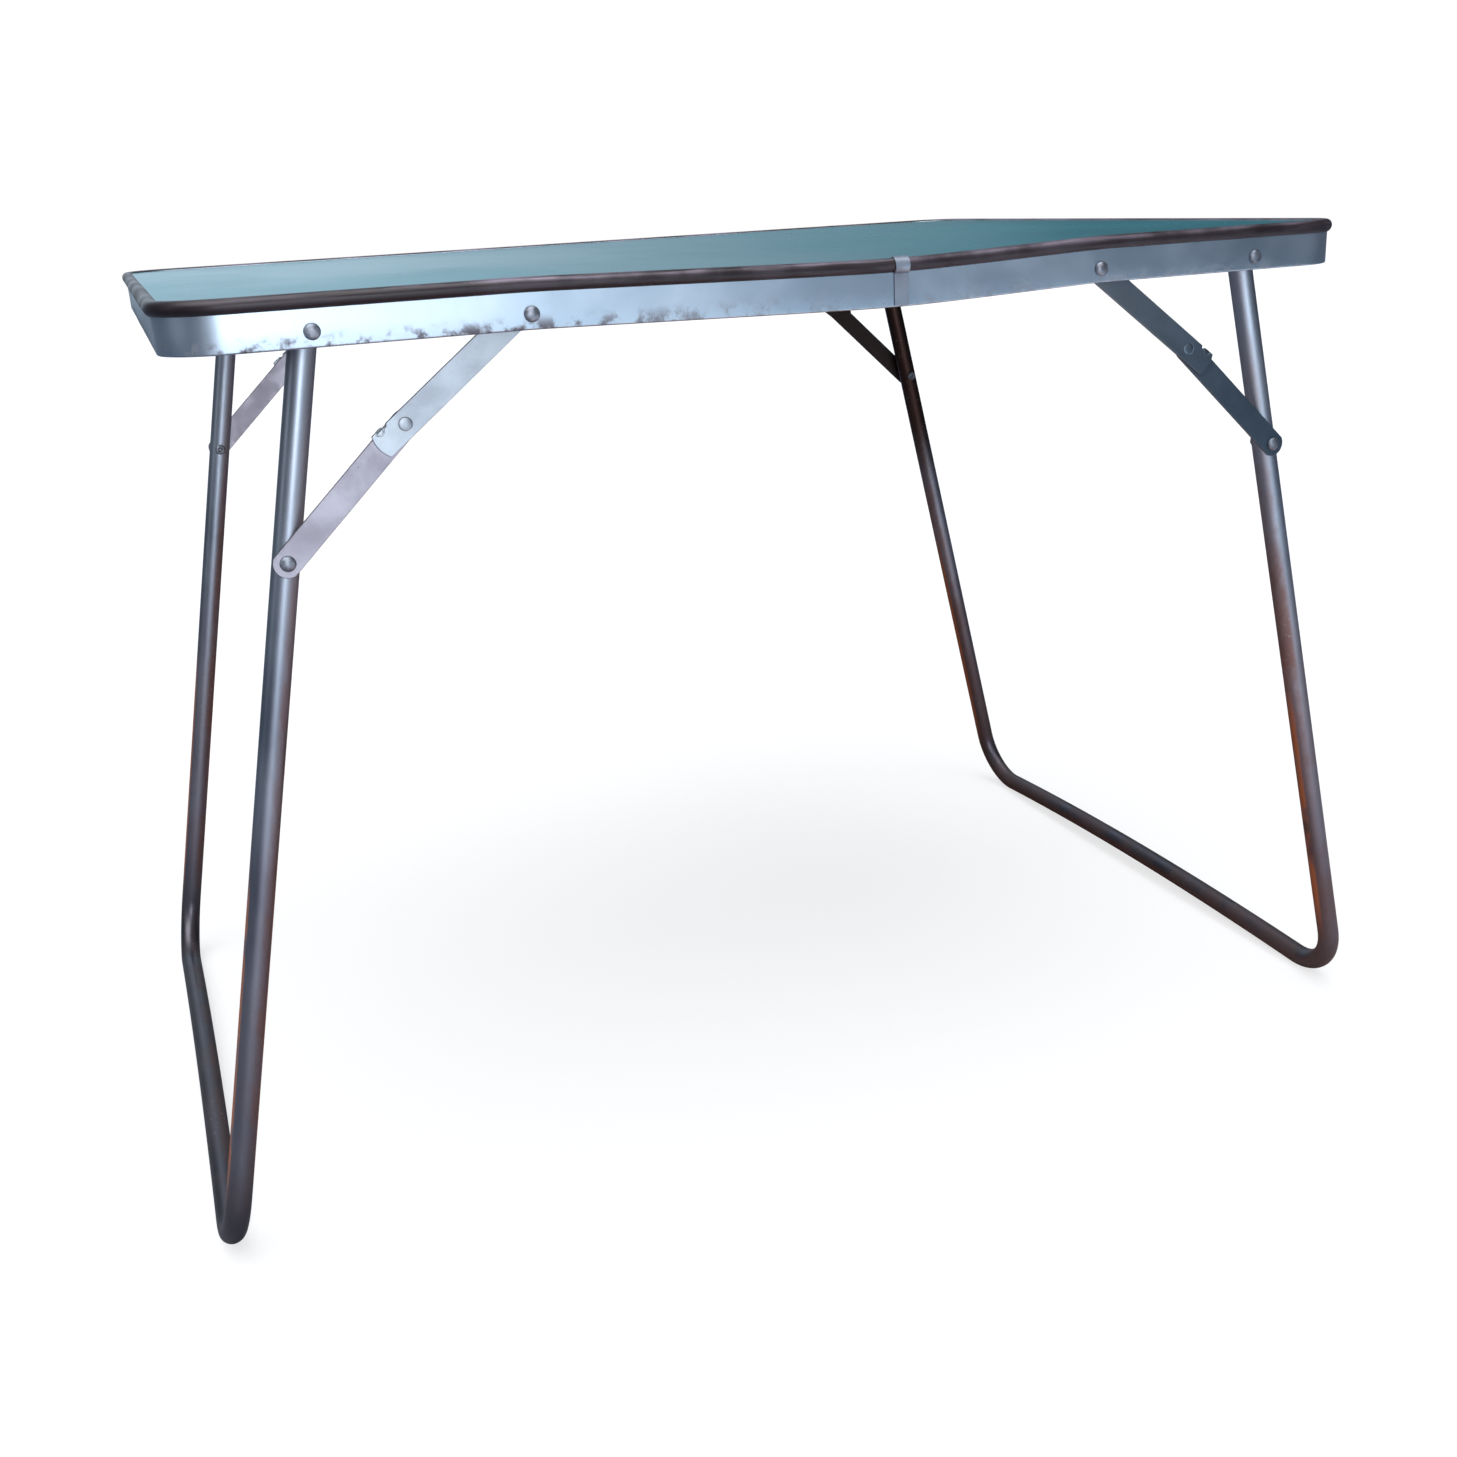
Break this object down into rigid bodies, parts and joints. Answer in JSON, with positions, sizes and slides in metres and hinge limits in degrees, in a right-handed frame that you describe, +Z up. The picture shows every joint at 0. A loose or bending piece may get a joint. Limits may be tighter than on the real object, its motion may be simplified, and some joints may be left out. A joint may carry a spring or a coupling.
{
  "type": "folding camping table",
  "caption": "Folding camping table: a framed rectangular top on two U-shaped tube legs that fold flat beneath it, each held open by jointed stays.",
  "frame": {"origin": "on the floor under the middle of the table", "axes": "+X along the length of the top towards the right-hand leg, +Y across the top from the front long side to the back one, +Z up"},
  "size_m": [0.8986, 0.611, 0.6191],
  "materials": {
    "rim_aluminium": "rolled aluminium, satin, dulled and stained along its lower edge, its bead painted dark brown",
    "clip_aluminium": "thin aluminium strip, satin, brighter than the rim",
    "panel_enamel": "blue-green gloss surface on hardboard, with smudges and fine scratches",
    "leg_steel": "plated steel tube, semi-gloss, dulled, with rust stains",
    "stay_steel": "galvanised strip steel, satin, lightly mottled",
    "rivet_steel": "plated steel rivets, tarnished",
    "spacer_steel": "plain steel distance tubes, tarnished"
  },
  "bodies": {
    "top": {"rim": "rim_aluminium", "rim_joint_clip": "clip_aluminium", "tabletop_panel": "panel_enamel", "leg_pivot_rivet_left_front": "rivet_steel", "leg_pivot_spacer_left_front": "spacer_steel", "stay_pivot_rivet_left_front": "rivet_steel", "stay_pivot_spacer_left_front": "spacer_steel", "leg_pivot_rivet_left_back": "rivet_steel", "leg_pivot_spacer_left_back": "spacer_steel", "stay_pivot_rivet_left_back": "rivet_steel", "stay_pivot_spacer_left_back": "spacer_steel", "leg_pivot_rivet_right_front": "rivet_steel", "leg_pivot_spacer_right_front": "spacer_steel", "stay_pivot_rivet_right_front": "rivet_steel", "stay_pivot_spacer_right_front": "spacer_steel", "leg_pivot_rivet_right_back": "rivet_steel", "leg_pivot_spacer_right_back": "spacer_steel", "stay_pivot_rivet_right_back": "rivet_steel", "stay_pivot_spacer_right_back": "spacer_steel"},
    "leg_frame_left": {"leg_left": "leg_steel", "stay_leg_rivet_tail_left_front": "rivet_steel", "stay_leg_rivet_tail_left_back": "rivet_steel"},
    "leg_frame_right": {"leg_right": "leg_steel", "stay_leg_rivet_tail_right_front": "rivet_steel", "stay_leg_rivet_tail_right_back": "rivet_steel"},
    "upper_link_left_front": {"stay_upper_left_front": "stay_steel", "stay_middle_rivet_left_front": "rivet_steel"},
    "lower_link_left_front": {"stay_lower_left_front": "stay_steel", "stay_leg_rivet_left_front": "rivet_steel"},
    "upper_link_left_back": {"stay_upper_left_back": "stay_steel", "stay_middle_rivet_left_back": "rivet_steel"},
    "lower_link_left_back": {"stay_lower_left_back": "stay_steel", "stay_leg_rivet_left_back": "rivet_steel"},
    "upper_link_right_front": {"stay_upper_right_front": "stay_steel", "stay_middle_rivet_right_front": "rivet_steel"},
    "lower_link_right_front": {"stay_lower_right_front": "stay_steel", "stay_leg_rivet_right_front": "rivet_steel"},
    "upper_link_right_back": {"stay_upper_right_back": "stay_steel", "stay_middle_rivet_right_back": "rivet_steel"},
    "lower_link_right_back": {"stay_lower_right_back": "stay_steel", "stay_leg_rivet_right_back": "rivet_steel"}
  },
  "joints": [
    {"name": "leg_left_fold", "type": "hinge", "parent": "top", "child": "leg_frame_left", "pos_m": [-0.3159, 0, 0.597], "axis": [0, -1, 0], "range_deg": [0, 102]},
    {"name": "upper_link_left_front_fold", "type": "hinge", "parent": "top", "child": "upper_link_left_front", "pos_m": [-0.1923, 0, 0.597], "axis": [0, 1, 0], "range_deg": [0, 38.14]},
    {"name": "lower_link_left_front_fold", "type": "hinge", "parent": "upper_link_left_front", "child": "lower_link_left_front", "pos_m": [-0.26702, 0, 0.53844], "axis": [0, -1, 0], "range_deg": [0, 174.33]},
    {"name": "upper_link_left_back_fold", "type": "hinge", "parent": "top", "child": "upper_link_left_back", "pos_m": [-0.1923, 0, 0.597], "axis": [0, 1, 0], "range_deg": [0, 38.14]},
    {"name": "lower_link_left_back_fold", "type": "hinge", "parent": "upper_link_left_back", "child": "lower_link_left_back", "pos_m": [-0.26702, 0, 0.53844], "axis": [0, -1, 0], "range_deg": [0, 174.33]},
    {"name": "leg_right_fold", "type": "hinge", "parent": "top", "child": "leg_frame_right", "pos_m": [0.3159, 0, 0.597], "axis": [0, 1, 0], "range_deg": [0, 100]},
    {"name": "upper_link_right_front_fold", "type": "hinge", "parent": "top", "child": "upper_link_right_front", "pos_m": [0.1923, 0, 0.597], "axis": [0, -1, 0], "range_deg": [0, 37.84]},
    {"name": "lower_link_right_front_fold", "type": "hinge", "parent": "upper_link_right_front", "child": "lower_link_right_front", "pos_m": [0.26702, 0, 0.53844], "axis": [0, 1, 0], "range_deg": [0, 171.76]},
    {"name": "upper_link_right_back_fold", "type": "hinge", "parent": "top", "child": "upper_link_right_back", "pos_m": [0.1923, 0, 0.597], "axis": [0, -1, 0], "range_deg": [0, 37.84]},
    {"name": "lower_link_right_back_fold", "type": "hinge", "parent": "upper_link_right_back", "child": "lower_link_right_back", "pos_m": [0.26702, 0, 0.53844], "axis": [0, 1, 0], "range_deg": [0, 171.76]}
  ],
  "couplings": [
    {"joint": "upper_link_left_front_fold", "follows": "leg_left_fold", "ratio": 0.37341},
    {"joint": "lower_link_left_front_fold", "follows": "leg_left_fold", "ratio": 1.7087},
    {"joint": "upper_link_left_back_fold", "follows": "leg_left_fold", "ratio": 0.37341},
    {"joint": "lower_link_left_back_fold", "follows": "leg_left_fold", "ratio": 1.7087},
    {"joint": "upper_link_right_front_fold", "follows": "leg_right_fold", "ratio": 0.37787},
    {"joint": "lower_link_right_front_fold", "follows": "leg_right_fold", "ratio": 1.7171},
    {"joint": "upper_link_right_back_fold", "follows": "leg_right_fold", "ratio": 0.37787},
    {"joint": "lower_link_right_back_fold", "follows": "leg_right_fold", "ratio": 1.7171}
  ]
}
